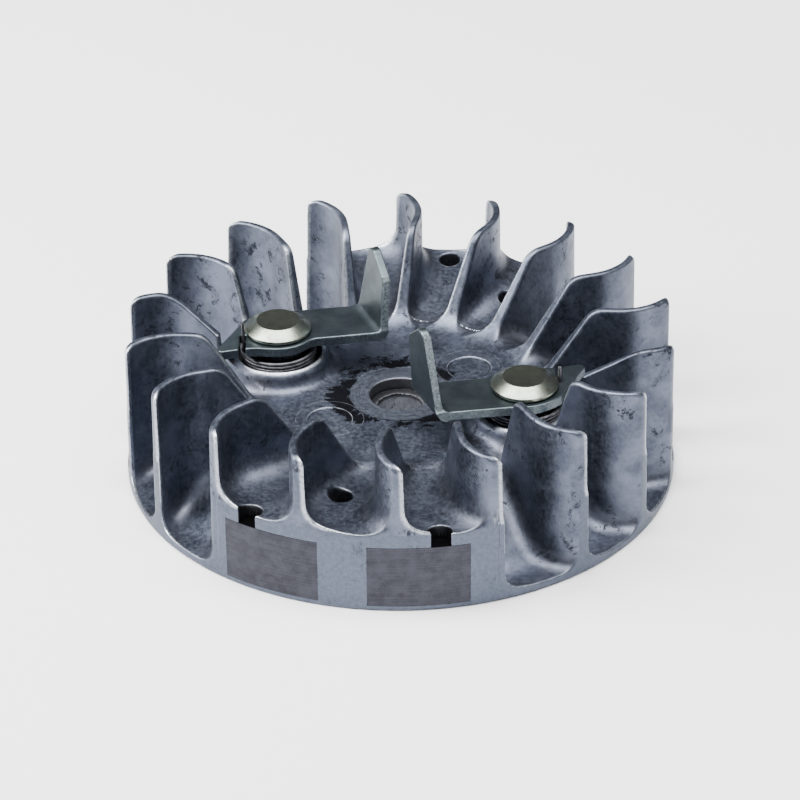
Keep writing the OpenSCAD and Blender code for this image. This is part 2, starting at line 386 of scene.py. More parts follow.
def surface_net(grid, axes):
    """One vertex in each cell that the surface crosses, and a quad across each crossed edge."""
    inside = grid < 0
    n = [s - 1 for s in grid.shape]

    def corner(a, i, j, k):
        return a[i : i + n[0], j : j + n[1], k : k + n[2]]

    count = sum(corner(inside, *c).astype(np.uint8) for c in CORNERS)
    cells = np.argwhere((count > 0) & (count < 8))
    number = np.full(n, -1, np.int32)
    number[tuple(cells.T)] = np.arange(len(cells))
    values = np.stack([grid[tuple((cells + c).T)] for c in CORNERS], 1)
    total = np.zeros((len(cells), 3))
    hits = np.zeros(len(cells))
    for a, b in CELL_EDGES:
        va, vb = values[:, a], values[:, b]
        crossed = (va < 0) != (vb < 0)
        t = np.where(crossed, va / np.where(crossed, va - vb, 1), 0)
        spot = np.outer(1 - t, CORNERS[a]) + np.outer(t, CORNERS[b])
        total += spot * crossed[:, None]
        hits += crossed
    step = axes[0][1] - axes[0][0]
    origin = np.array([a[0] for a in axes])
    points = origin + step * (cells + total / hits[:, None])
    quads = []
    for axis in range(3):
        u, v = (axis + 1) % 3, (axis + 2) % 3
        here = np.moveaxis(inside, axis, 0)
        change = np.moveaxis(here[:-1] != here[1:], 0, axis)
        spots = np.argwhere(change)
        spots = spots[(spots[:, u] > 0) & (spots[:, v] > 0)]
        spots = spots[(spots[:, u] < n[u]) & (spots[:, v] < n[v])]
        du, dv = np.eye(3, dtype=int)[u], np.eye(3, dtype=int)[v]
        ring = [spots - du - dv, spots - dv, spots, spots - du]
        quad = np.stack([number[tuple(c.T)] for c in ring], 1)
        leaving = inside[tuple(spots.T)]
        quads.append(np.where(leaving[:, None], quad, quad[:, ::-1]))
    return points, np.concatenate(quads)


PROBES = np.array([(1, -1, -1), (-1, -1, 1), (-1, 1, -1), (1, 1, 1)])


def probed(field, p, reach=0.03):
    """The field's value and gradient at points p, from four probes round each."""
    value = 0
    gradient = 0
    for probe in PROBES:
        q = p + reach * probe
        f = field(q[:, :1], q[:, 1:2], q[:, 2:3])
        value = value + f / 4
        gradient = gradient + f * probe / (4 * reach)
    return value, gradient


def settle(field, p, most, rounds):
    """Moves points onto the surface, never further than most each time."""
    for _ in range(rounds):
        value, g = probed(field, p)
        size = np.maximum(np.linalg.norm(g, axis=1, keepdims=True), 0.3)
        p = p - np.clip(value / size, -most, most) * g / size
    return p


def linked(name, data):
    """A new object in the scene for a mesh, a light or a camera."""
    made = bpy.data.objects.new(name, data)
    bpy.context.collection.objects.link(made)
    return made


def new_object(name, points, faces):
    """A mesh object from points in millimetres."""
    mesh = bpy.data.meshes.new(name)
    mesh.from_pydata((np.asarray(points) * MM).tolist(), [], faces)
    mesh.update()
    return linked(name, mesh)


def fast_object(name, points, quads):
    """new_object for large arrays of quads."""
    mesh = bpy.data.meshes.new(name)
    mesh.vertices.add(len(points))
    mesh.vertices.foreach_set("co", (points * MM).astype(np.float32).ravel())
    mesh.loops.add(quads.size)
    mesh.loops.foreach_set("vertex_index", quads.astype(np.int32).ravel())
    mesh.polygons.add(len(quads))
    mesh.polygons.foreach_set("loop_start", np.arange(0, quads.size, 4, dtype=np.int32))
    mesh.update(calc_edges=True)
    mesh.validate()
    return linked(name, mesh)


def thinned(obj, ratio):
    """Collapses flat areas so that the mesh stays light."""
    modifier = obj.modifiers.new("thin", "DECIMATE")
    modifier.ratio = ratio
    scene_state = bpy.context.evaluated_depsgraph_get()
    mesh = bpy.data.meshes.new_from_object(obj.evaluated_get(scene_state))
    obj.modifiers.clear()
    old = obj.data
    obj.data = mesh
    bpy.data.meshes.remove(old)


def from_field(name, field, low, high, step, keep, edge_reach):
    """A finished object from a field: netted, thinned, settled, with edge and hollow masks measured from
    the field.
    """
    margin = 2 * step
    axes = [np.arange(a - margin, b + margin + step, step) for a, b in zip(low, high)]
    points, quads = surface_net(sampled(field, axes), axes)
    points = settle(field, points, step * 0.5, 1)
    obj = fast_object(name, points, quads)
    if keep < 1:
        thinned(obj, keep)
    mesh = obj.data
    p = np.empty(len(mesh.vertices) * 3, np.float32)
    mesh.vertices.foreach_get("co", p)
    p = settle(field, p.reshape(-1, 3).astype(float) / MM, step * 0.3, 2)
    mesh.vertices.foreach_set("co", (p * MM).astype(np.float32).ravel())
    normal = probed(field, p)[1]
    normal /= np.maximum(np.linalg.norm(normal, axis=1, keepdims=True), 1e-6)
    edge_and_hollow_masks(mesh, field, p, normal, edge_reach)
    mesh.polygons.foreach_set("use_smooth", np.ones(len(mesh.polygons), bool))
    mesh.update()
    mesh.normals_split_custom_set_from_vertices(normal.tolist())
    return obj


def points_and_normals(mesh):
    """A mesh's points in millimetres and its vertex normals."""
    found = []
    for field_name in ("co", "normal"):
        values = np.empty(len(mesh.vertices) * 3, np.float32)
        mesh.vertices.foreach_get(field_name, values)
        found.append(values.reshape(-1, 3))
    return found[0] / MM, found[1]


def store(mesh, name, values):
    """Keeps one number for each point, for the materials."""
    layer = mesh.attributes.new(name, "FLOAT", "POINT")
    layer.data.foreach_set("value", values.astype(np.float32))


def edge_and_hollow_masks(mesh, field, p, normal, edge_reach):
    """Stores how convex (edge) and how enclosed (cavity) each point is, for the materials' edge wear,
    painted highlight and painted shade.
    """

    def at(offset):
        q = p + normal * offset
        return field(q[:, :1], q[:, 1:2], q[:, 2:3]).ravel()

    edge = np.clip(1 + at(-edge_reach) / edge_reach, 0, 1)
    cavity = np.clip(1 - (at(1.5) / 1.5 + at(4.5) / 4.5) / 2, 0, 1)
    store(mesh, "edge", edge)
    store(mesh, "cavity", cavity)


# ---- pawls ----

# Everything here is in pawl axes: the stud at the origin and the crank on +X. The lug is bent up
# along the line from BEND_FAR to BEND_NEAR.
BEND_FAR = np.array([10.05, 15.5])
BEND_NEAR = np.array([19.25, 7.4])
BEND_LENGTH = float(np.linalg.norm(BEND_NEAR - BEND_FAR))
BEND_ALONG = (BEND_NEAR - BEND_FAR) / BEND_LENGTH
BEND_OUT = np.array([-BEND_ALONG[1], BEND_ALONG[0]])
LUG_T = 1.75
BEND_ROUND = 1.25
NOTCH_R = 0.7
LUG_LEAN = math.tan(math.radians(3))
PAWL_TOP = PAWL[1][2]
PAWL_PLAN = [
    (-7.2, -12.5),
    (-7.9, -11.8),
    (-8.1, 0.5),
    (-7.0, 2.4),
    (-4.2, 6.1),
    tuple(BEND_FAR),
    tuple(BEND_FAR + LUG_T * BEND_OUT),
    tuple(BEND_NEAR + LUG_T * BEND_OUT),
    tuple(BEND_NEAR),
    (7.4, -0.6),
    (0.8, -7.4),
    (-2.4, -9.2),
    (-6.3, -12.35),
]
EYE_R = 7.6
# The lug seen square on: along the bend and up from the plate's lower face.
LUG_TALL = PAWL_TOP - PLATE
LUG_FACE = [
    (0, 0),
    (BEND_LENGTH, 0),
    (BEND_LENGTH, LUG_TALL - 4.6),
    (BEND_LENGTH - 0.6, LUG_TALL - 3.6),
    (7.47, LUG_TALL - 0.4),
    (6.5, LUG_TALL - 0.05),
    (6.2, LUG_TALL - 0.05),
    (4.36, LUG_TALL - 1.42),
]
# The lug's rounded peak, as circles that touch its top: how far along, and the radius.
LUG_PEAKS = ((6.2, 1.9), (6.5, 1.6))


def pawl_field(x, y, z):
    """One pawl, the stud axis at the origin and the crank axis towards +X."""
    off_axis = np.hypot(x, y)
    plan = join(outline_distance(x, y, PAWL_PLAN), off_axis - EYE_R, 1.0)
    middle = PLATE + PLATE_T / 2
    plate = both(plan, np.abs(z - middle) - PLATE_T / 2, 0.3)
    along = (x - BEND_FAR[0]) * BEND_ALONG[0] + (y - BEND_FAR[1]) * BEND_ALONG[1]
    out = (x - BEND_FAR[0]) * BEND_OUT[0] + (y - BEND_FAR[1]) * BEND_OUT[1]
    up = z - PLATE
    out = out - LUG_LEAN * up
    face = outline_distance(along, up, LUG_FACE)
    for peak, peak_r in LUG_PEAKS:
        face = np.minimum(face, np.hypot(along - peak, up - LUG_TALL + peak_r) - peak_r)
    lug = both(face, np.abs(out - LUG_T / 2) - LUG_T / 2, 0.35)
    body = join(plate, lug, BEND_ROUND)
    body = np.maximum(body, both(out - LUG_T, -up, BEND_ROUND + 1.2))
    body = cut(body, off_axis - SHOULDER_R - 0.06, 0.2)
    lx, ly = LEG_R * math.cos(LEG_TURN), LEG_R * math.sin(LEG_TURN)
    nx, ny = turned(x - lx, y - ly, LEG_TURN + math.radians(70))
    notch = np.minimum(np.hypot(nx, ny) - NOTCH_R, np.maximum(np.abs(ny) - NOTCH_R, -nx))
    return cut(body, notch, 0.25)


# ---- turned studs ----


def arc_points(cx, cz, radius, start, end, count=6):
    """Points along an arc in the profile plane, degrees."""
    turns = np.radians(np.linspace(start, end, count))
    return [(cx + radius * math.cos(t), cz + radius * math.sin(t)) for t in turns]


def ring_faces(rows, count):
    """Faces of a body whose points lie in rows of count, closed by a cap at either end."""
    faces = []
    for row in range(rows - 1):
        a, b = row * count, (row + 1) * count
        for k in range(count):
            n = (k + 1) % count
            faces.append((a + k, a + n, b + n, b + k))
    last = (rows - 1) * count
    faces.append(tuple(range(count))[::-1])
    faces.append(tuple(range(last, last + count)))
    return faces


def lathe(name, profile, centre, segments=128):
    """A solid of revolution about a vertical axis at centre; the profile runs from axis to axis."""
    cx, cy = centre
    points = []
    for r, z in profile:
        for k in range(segments):
            t = 2 * math.pi * k / segments
            points.append((cx + r * math.cos(t), cy + r * math.sin(t), z))
    return new_object(name, points, ring_faces(len(profile), segments))


def stud(name, centre):
    """A shouldered stud with a broad chamfered head and a lightly dished, turned top."""
    top = STUD[1][2]
    low = STUD[0][2]
    head = PLATE + PLATE_T + 0.25
    head_r = 6.7
    land_r = 4.2
    profile = [(0.6, low), (2.5, low), (3.0, low + 0.5), (3.0, POST_TOP)]
    profile += [(SHOULDER_R - 0.15, POST_TOP), (SHOULDER_R, POST_TOP + 0.15), (SHOULDER_R, head)]
    profile += arc_points(head_r - 0.2, head + 0.2, 0.2, -90, 0)
    profile += arc_points(head_r - 0.25, head + 0.5, 0.25, 0, 50)
    profile += arc_points(land_r, top - 0.35, 0.35, 52, 90, 5)
    profile += [(land_r - 0.3, top), (3.4, top - 0.03), (2.0, top - 0.06), (0.6, top - 0.07)]
    obj = lathe(name, profile, centre)
    smooth_by_angle(obj, 30)
    return obj


def smooth_by_angle(obj, degrees):
    """Smooth shading, kept sharp where faces meet at more than this angle."""
    mesh = obj.data
    mesh.polygons.foreach_set("use_smooth", np.ones(len(mesh.polygons), bool))
    mesh.set_sharp_from_angle(angle=math.radians(degrees))


# ---- wound springs ----


def spring_path(turn):
    """Centre line of a pawl spring in pawl axes turned by turn: boss leg, coil, then the upright leg."""
    low = POCKET_FLOOR + WIRE_R + 0.25
    sweep = LEG_TURN - ANCHOR_TURN + 2 * math.pi * WIRE_TURNS
    high = low + WIRE_PITCH * sweep / (2 * math.pi)
    path = [(COIL_R, ANCHOR_TURN, low - 2.6), (COIL_R, ANCHOR_TURN, low - 0.9)]
    steps = 240
    for i in range(steps + 1):
        t = i / steps
        rise = low + (high - low) * t
        path.append((COIL_R + (LEG_R - COIL_R) * t**12, ANCHOR_TURN + 0.06 + (sweep - 0.12) * t, rise))
    path += [(LEG_R, LEG_TURN, z) for z in (high + 0.5, high + 1.6, SPRING[1][2] - 0.15)]
    return [(r * math.cos(a + turn), r * math.sin(a + turn), z) for r, a, z in path]


def tube(name, path, radius, sides=14):
    """A round wire along a path, with flat ends."""
    path = [Vector(p) for p in path]
    normal = None
    points = []
    for i, p in enumerate(path):
        ahead = (path[min(i + 1, len(path) - 1)] - path[max(i - 1, 0)]).normalized()
        if normal is None:
            normal = ahead.orthogonal().normalized()
        normal = (normal - ahead * normal.dot(ahead)).normalized()
        side = ahead.cross(normal)
        for k in range(sides):
            t = 2 * math.pi * k / sides
            points.append(p + radius * (math.cos(t) * normal + math.sin(t) * side))
    obj = new_object(name, [tuple(p) for p in points], ring_faces(len(path), sides))
    smooth_by_angle(obj, 45)
    return obj


# ---- laminated pole shoes ----

SHEET_T = 0.5
MAGNET_R = 51.3


def shoe_outline(centre, magnet_side, slip):
    """Plan of one lamination; the end beside the magnet is stepped back to clear it."""
    first, last = centre - SHOE_HALF + slip, centre + SHOE_HALF + slip
    outer = RIM + 0.03
    inner = RIM - SHOE_DEPTH
    step = math.radians(1.1)
    outer_turns = np.linspace(first, last, 17)
    plan = [polar(outer, a) for a in outer_turns]
    low, high = (first, last - step) if magnet_side > 0 else (first + step, last)
    inner_turns = np.linspace(high, low, 13)
    arc = [polar(inner, a) for a in inner_turns]
    if magnet_side > 0:
        arc = [polar(MAGNET_R, a) for a in (last, high)] + arc
    else:
        arc = arc + [polar(MAGNET_R, a) for a in (low, first)]
    return plan + arc


def pole_shoe(name, centre, magnet_side, chance):
    """A riveted stack of thin sheets, each slipped by a few hundredths of a millimetre."""
    low, high = SHOE[0][2], SHOE[1][2]
    count = round((high - low) / SHEET_T)
    points, faces = [], []
    for i in range(count):
        plan = shoe_outline(centre, magnet_side, chance.normal(0, 0.00055))
        z0 = low + (high - low) * i / count
        z1 = low + (high - low) * (i + 1) / count - 0.012
        base = len(points)
        n = len(plan)
        points += [(x, y, z0) for x, y in plan] + [(x, y, z1) for x, y in plan]
        faces.append(tuple(range(base, base + n))[::-1])
        faces.append(tuple(range(base + n, base + 2 * n)))
        for k in range(n):
            m = (k + 1) % n
            faces.append((base + k, base + m, base + n + m, base + n + k))
    obj = new_object(name, points, faces)
    smooth_by_angle(obj, 20)
    return obj


# ---- materials ----


class Shader:
    """A Principled material with short calls for the nodes used here."""

    def __init__(self, name, colour, metallic, roughness):
        self.material = bpy.data.materials.new(name)
        self.material.use_nodes = True
        self.nodes = self.material.node_tree.nodes
        self.links = self.material.node_tree.links
        self.surface = self.nodes["Principled BSDF"]
        self.surface.inputs["Base Color"].default_value = (*colour, 1)
        self.surface.inputs["Metallic"].default_value = metallic
        self.surface.inputs["Roughness"].default_value = roughness
        self.material.diffuse_color = (*colour, 1)
        coordinates = self.nodes.new("ShaderNodeTexCoord")
        scale = self.nodes.new("ShaderNodeMapping")
        scale.inputs["Scale"].default_value = (1 / MM,) * 3
        self.links.new(coordinates.outputs["Object"], scale.inputs["Vector"])
        self.place = scale.outputs["Vector"]

    def put(self, value, socket):
        """Feeds a socket with an output or a plain number."""
        if isinstance(value, bpy.types.NodeSocket):
            self.links.new(value, socket)
        else:
            socket.default_value = value

    def stretched(self, factors):
        """The place in millimetres, with each axis scaled."""
        node = self.nodes.new("ShaderNodeMapping")
        node.inputs["Scale"].default_value = factors
        self.links.new(self.place, node.inputs["Vector"])
        return node.outputs["Vector"]

    def noise(self, size, detail=4, roughness=0.55, place=None, distortion=0):
        """Noise with features of about size millimetres."""
        node = self.nodes.new("ShaderNodeTexNoise")
        node.inputs["Scale"].default_value = 1 / size
        node.inputs["Detail"].default_value = detail
        node.inputs["Roughness"].default_value = roughness
        node.inputs["Distortion"].default_value = distortion
        self.links.new(place or self.place, node.inputs["Vector"])
        return node.outputs["Fac"]

    def attribute(self, name):
        node = self.nodes.new("ShaderNodeAttribute")
        node.attribute_name = name
        return node.outputs["Fac"]

    def ramp(self, value, low, high, from_value=0.0, to_value=1.0, smooth=True):
        """value taken from the span low-high to the span from_value-to_value."""
        node = self.nodes.new("ShaderNodeMapRange")
        node.interpolation_type = "SMOOTHSTEP" if smooth else "LINEAR"
        node.inputs["From Min"].default_value = low
        node.inputs["From Max"].default_value = high
        node.inputs["To Min"].default_value = from_value
        node.inputs["To Max"].default_value = to_value
        self.put(value, node.inputs["Value"])
        return node.outputs["Result"]

    def math(self, kind, a, b=0.0):
        node = self.nodes.new("ShaderNodeMath")
        node.operation = kind
        self.put(a, node.inputs[0])
        self.put(b, node.inputs[1])
        return node.outputs["Value"]

    def mix(self, amount, a, b):
        """Colour a, going to b as amount goes to 1. Each is a colour or an output."""
        node = self.nodes.new("ShaderNodeMix")
        node.data_type = "RGBA"
        self.put(amount, node.inputs[0])
        for value, socket in ((a, node.inputs[6]), (b, node.inputs[7])):
            self.put((*value, 1) if isinstance(value, tuple) else value, socket)
        return node.outputs[2]

    def bump(self, layers):
        """Adds height layers, each an output and its height in millimetres."""
        normal = None
        for height, depth in layers:
            node = self.nodes.new("ShaderNodeBump")
            node.inputs["Strength"].default_value = 1.0
            node.inputs["Distance"].default_value = depth * MM
            self.links.new(height, node.inputs["Height"])
            if normal is not None:
                self.links.new(normal, node.inputs["Normal"])
            normal = node.outputs["Normal"]
        self.links.new(normal, self.surface.inputs["Normal"])

    def colour(self, output):
        self.links.new(output, self.surface.inputs["Base Color"])

    def roughness(self, output):
        self.links.new(output, self.surface.inputs["Roughness"])

    def height(self):
        """Height above the rim's lower face in millimetres."""
        split = self.nodes.new("ShaderNodeSeparateXYZ")
        self.links.new(self.place, split.inputs[0])
        return split.outputs[2]

    def distance(self, centre):
        """Distance from an upright axis through a point in plan, in millimetres."""
        split = self.nodes.new("ShaderNodeSeparateXYZ")
        self.links.new(self.place, split.inputs[0])
        offsets = [self.math("SUBTRACT", split.outputs[i], centre[i]) for i in (0, 1)]
        squares = [self.math("MULTIPLY", offset, offset) for offset in offsets]
        return self.math("SQRT", self.math("ADD", *squares))

    def facing_up(self):
        """How far the surface faces up: 1 on top, 0 on an upright face."""
        split = self.nodes.new("ShaderNodeSeparateXYZ")
        geometry = self.nodes.new("ShaderNodeNewGeometry")
        self.links.new(geometry.outputs["Normal"], split.inputs[0])
        return split.outputs[2]

    def combined(self, x, y, z):
        """A vector from three numbers or outputs."""
        node = self.nodes.new("ShaderNodeCombineXYZ")
        for value, socket in zip((x, y, z), node.inputs):
            self.put(value, socket)
        return node.outputs[0]

    def band(self, radius, outer, height, above):
        """1 inside a radius and above a height, soft at its edges."""
        within = self.ramp(radius, outer, outer + 0.25, 1, 0)
        return self.math("MULTIPLY", within, self.ramp(height, above - 0.2, above))

    def radius(self):
        """Distance from the crank axis in millimetres."""
        return self.distance((0.0, 0.0))


def cast_aluminium():
    """Die-cast metal: bright edges (tumbling wear and painted highlight), blotchy oxide, stains and dirt,
    painted shade in the corners, a turned rim.
    """
    s = Shader("cast_aluminium", (0.20, 0.22, 0.27), 1.0, 0.42)
    edge, cavity, rim = (s.attribute(n) for n in ("edge", "cavity", "turned"))
    radius, height = s.radius(), s.height()
    cloud = s.ramp(s.noise(7, 5, 0.6), 0.35, 0.68)
    fine = s.ramp(s.noise(0.9, 6, 0.65), 0.3, 0.7)
    skin = s.mix(cloud, (0.052, 0.060, 0.084), (0.125, 0.140, 0.182))
    skin = s.mix(s.math("MULTIPLY", fine, 0.3), skin, (0.19, 0.21, 0.26))
    brown = s.math("MULTIPLY", s.ramp(cavity, 0.1, 0.6), 0.45)
    skin = s.mix(brown, skin, (0.128, 0.116, 0.122))
    rings = s.noise(0.3, 2, 0.5, s.combined(radius, 0.0, 0.0))
    on_seat = s.band(radius, SEAT_R - 0.1, height, FLOOR - 0.5)
    seat_colour = s.mix(s.ramp(rings, 0.35, 0.65), (0.088, 0.099, 0.125), (0.140, 0.156, 0.192))
    skin = s.mix(on_seat, skin, seat_colour)
    in_counterbore = s.ramp(radius, COUNTERBORE_R + 0.3, COUNTERBORE_R + 0.1)
    skin = s.mix(in_counterbore, skin, (0.155, 0.158, 0.175))
    # Painted reflection: the taper's wall made bright as if it mirrored the pale floor.
    skin = s.mix(bore_reflection(s, radius, height), skin, (0.42, 0.43, 0.47))
    dirt_and_shade = dirt_and_shade_on(s, cavity, radius, height)
    # Bright edges: partly tumbling wear, partly a painted highlight.
    rubbed_and_highlit = s.ramp(edge, 0.25, 0.7)
    chipped = s.ramp(s.noise(0.7, 6, 0.7), 0.38, 0.5)
    rubbed_and_highlit = s.math("MULTIPLY", rubbed_and_highlit, s.ramp(chipped, 0, 1, 0.38, 1))
    rubbed_and_highlit = s.math("MULTIPLY", rubbed_and_highlit, s.ramp(s.noise(8, 2), 0.38, 0.58, 0.72, 1))
    # Upward-facing edges get more of the painted highlight.
    rubbed_and_highlit = s.math("MULTIPLY", rubbed_and_highlit, s.ramp(s.facing_up(), -0.1, 0.5, 0.35, 1))
    rubbed_and_highlit = s.math("MULTIPLY", rubbed_and_highlit, s.ramp(radius, COUNTERBORE_R - 0.3, COUNTERBORE_R + 1.5, 0.12, 1))
    dirt_and_shade = s.math("MULTIPLY", dirt_and_shade, s.math("SUBTRACT", 1.0, s.math("MULTIPLY", rubbed_and_highlit, 0.8)))
    # Darkens the colour with dirt, stains and painted shade.
    colour = s.mix(dirt_and_shade, skin, (0.004, 0.004, 0.005))
    # Painted shade and highlight along the ejector marks' steps.
    colour = marks_shade_and_highlight(s, colour, height)
    # Paints the bright edge colour: wear and painted highlight.
    colour = s.mix(s.math("MULTIPLY", rubbed_and_highlit, 0.8), colour, (0.80, 0.84, 0.90))
    turned_colour = s.mix(fine, (0.070, 0.081, 0.108), (0.105, 0.120, 0.155))
    colour = s.mix(rim, colour, turned_colour)
    # Painted shade: the core holes over the pole shoes darkened near black.
    colour = s.mix(s.math("MULTIPLY", window_shade(s), 0.8), colour, (0.012, 0.012, 0.014))
    s.colour(colour)
    rough = s.math("ADD", s.ramp(fine, 0, 1, 0.40, 0.52), s.math("MULTIPLY", dirt_and_shade, 0.35))
    rough = s.math("SUBTRACT", rough, s.math("MULTIPLY", rubbed_and_highlit, 0.12))
    s.roughness(rough)
    lines = s.noise(0.35, 3, 0.5, s.stretched((0.02, 0.02, 1)))
    s.bump(
        [
            (s.noise(3.5, 2), 0.07),
            (s.noise(0.45, 4, 0.6), 0.024),
            (s.math("MULTIPLY", lines, rim), 0.02),
            (s.math("MULTIPLY", rings, on_seat), 0.015),
        ]
    )
    return s.material


def bore_reflection(s, radius, height):
    """1 on the taper's wall, painted bright as a reflection of the pale floor, with a scraped texture."""
    scraped = s.ramp(s.noise(0.6, 6, 0.7, s.stretched((1, 1, 0.4))), 0.35, 0.6, 0.55, 1)
    below = s.ramp(height, COUNTERBORE_Z - 0.7, COUNTERBORE_Z - 1.0)
    wall = s.ramp(radius, COUNTERBORE_R + 0.3, COUNTERBORE_R + 0.1)
    return s.math("MULTIPLY", s.math("MULTIPLY", wall, below), scraped)


def marks_shade_and_highlight(s, colour, height):
    """The ejector marks' steps: painted shade in the corner, a painted highlight on the edge outside it
    and a faint one on the outer ring.
    """
    on_web = s.ramp(height, FLOOR - 0.6, FLOOR - 0.4)
    for angle in MARKS:
        off_axis = s.distance(polar(MARK_ORBIT, angle))
        # Painted shade in the corner, painted highlight on the edge, faint painted highlight on the ring.
        for line_r, half, strength, tint in (
            (MARK_R - 0.2, 0.22, 0.75, (0.008, 0.008, 0.009)),
            (MARK_R + 0.12, 0.1, 0.4, (0.60, 0.64, 0.72)),
            (MARK_RING_R, 0.1, 0.2, (0.45, 0.48, 0.55)),
        ):
            away = s.math("ABSOLUTE", s.math("SUBTRACT", off_axis, line_r))
            line = s.math("MULTIPLY", s.ramp(away, half, half * 0.4, 0, strength), on_web)
            line = s.math("MULTIPLY", line, s.ramp(s.noise(1.3, 5, 0.7), 0.38, 0.6, 0.35, 1))
            colour = s.mix(line, colour, tint)
    return colour


def window_shade(s):
    """1 inside the core holes above the pole shoes, which are painted near black as shade."""
    found = 0.0
    for hole_at, angle, hole_r in WINDOWS:
        inside = s.ramp(s.distance(polar(hole_at, angle)), hole_r + 0.05, hole_r + 0.25, 1, 0)
        found = s.math("MAXIMUM", found, inside)
    return s.math("MULTIPLY", found, s.ramp(s.height(), SHOE_TOP - 0.6, SHOE_TOP - 0.4))


def dirt_and_shade_on(s, cavity, radius, height):
    """Where the casting is darkened: painted shade in the corners and down the counterbore's wall, stain
    blotches, a dirt ring round the nut's seat.
    """
    ragged = s.noise(2.2, 8, 0.7, distortion=0.4)
    # Painted shade in corners and hollows, made ragged by noise.
    corner_shade = s.math("MULTIPLY", s.ramp(cavity, 0.15, 0.8), s.ramp(ragged, 0.35, 0.62, 0.25, 1))
    patch = s.ramp(s.noise(9, 4, 0.55), 0.47, 0.57)
    stain = s.ramp(s.noise(2.8, 11, 0.8, distortion=0.5), 0.53, 0.585)
    stain = s.math("MULTIPLY", stain, s.ramp(patch, 0, 1, 0.05, 1))
    ring = s.ramp(radius, SEAT_R - 0.7, SEAT_R + 0.1)
    ring = s.math("MULTIPLY", ring, s.ramp(radius, 11.0, 17.0, 1, 0))
    ring = s.math("MULTIPLY", ring, s.ramp(height, FLOOR - 1.5, FLOOR - 1.0))
    crust = s.noise(6.5, 10, 0.78, distortion=0.5)
    grime = s.ramp(s.math("ADD", crust, s.math("MULTIPLY", ring, 0.16)), 0.585, 0.635)
    grime = s.math("MULTIPLY", grime, s.ramp(ring, 0.02, 0.2))
    # Painted shade down the counterbore's wall, darker towards its bottom.
    in_counterbore = s.ramp(radius, COUNTERBORE_R + 0.4, COUNTERBORE_R + 0.1)
    wall = s.math("MULTIPLY", in_counterbore, s.ramp(height, COUNTERBORE_Z - 0.6, COUNTERBORE_Z - 0.3))
    wall = s.math("MULTIPLY", wall, s.ramp(height, COUNTERBORE_Z, COUNTERBORE_Z + 1.2, 0.95, 0.2))
    dirt_and_shade = s.math("MULTIPLY", corner_shade, 0.6)
    for layer, strength in ((stain, 0.68), (grime, 0.97), (wall, 0.85)):
        dirt_and_shade = s.math("MAXIMUM", dirt_and_shade, s.math("MULTIPLY", layer, strength))
    return dirt_and_shade


def laminated_steel():
    """Ground sheet edges: fine lines along the stack, dull grey with rust specks, painted shade on top."""
    s = Shader("laminated_steel", (0.30, 0.305, 0.32), 1.0, 0.45)
    lines = s.noise(0.2, 3, 0.6, s.stretched((0.02, 0.02, 1)))
    cloud = s.math("ADD", s.math("MULTIPLY", lines, 0.35), s.math("MULTIPLY", s.noise(2.5, 7, 0.65), 0.65))
    grey = s.mix(s.ramp(cloud, 0.36, 0.62), (0.030, 0.030, 0.037), (0.047, 0.048, 0.058))
    rust = s.ramp(s.noise(0.8, 6, 0.7), 0.64, 0.70)
    # Painted shade: the shoes' tops, seen down the core holes, made near black.
    top = s.ramp(s.height(), SHOE_TOP - 0.12, SHOE_TOP - 0.02)
    grey = s.mix(top, grey, (0.007, 0.006, 0.007))
    s.colour(s.mix(s.math("MULTIPLY", rust, 0.65), grey, (0.020, 0.012, 0.010)))
    s.roughness(s.ramp(rust, 0, 1, 0.42, 0.85))
    s.bump([(lines, 0.02), (s.noise(0.3, 4), 0.01)])
    return s.material


def zinc_plate():
    """Dull grey-green zinc on stamped steel, paler and pitted where it was sheared, with a faint painted
    highlight on its edges.
    """
    s = Shader("zinc_plated_steel", (0.17, 0.20, 0.20), 1.0, 0.42)
    edge = s.ramp(s.attribute("edge"), 0.25, 0.8)
    sheared = s.attribute("sheared")
    cloud = s.ramp(s.noise(5, 6, 0.6), 0.35, 0.65)
    skin = s.mix(cloud, (0.062, 0.078, 0.086), (0.092, 0.114, 0.124))
    smear = s.ramp(s.noise(1.6, 8, 0.7, distortion=0.6), 0.60, 0.70)
    skin = s.mix(s.math("MULTIPLY", smear, 0.35), skin, (0.07, 0.08, 0.085))
    grain = s.ramp(s.noise(0.55, 7, 0.7), 0.38, 0.62)
    pits = s.ramp(s.noise(1.1, 7, 0.72, distortion=0.5), 0.58, 0.66)
    torn = s.mix(grain, (0.14, 0.17, 0.185), (0.33, 0.38, 0.40))
    torn = s.mix(s.math("MULTIPLY", pits, 0.8), torn, (0.05, 0.055, 0.06))
    colour = s.mix(sheared, skin, torn)
    # Painted highlight: a faint pale line along the pawl's convex edges.
    s.colour(s.mix(s.math("MULTIPLY", edge, 0.12), colour, (0.42, 0.48, 0.50)))
    s.roughness(s.ramp(sheared, 0, 1, 0.40, 0.5))
    rough_side = s.math("MULTIPLY", grain, sheared)
    s.bump([(s.noise(2.5, 3), 0.05), (s.noise(0.25, 3), 0.012), (rough_side, 0.05)])
    return s.material


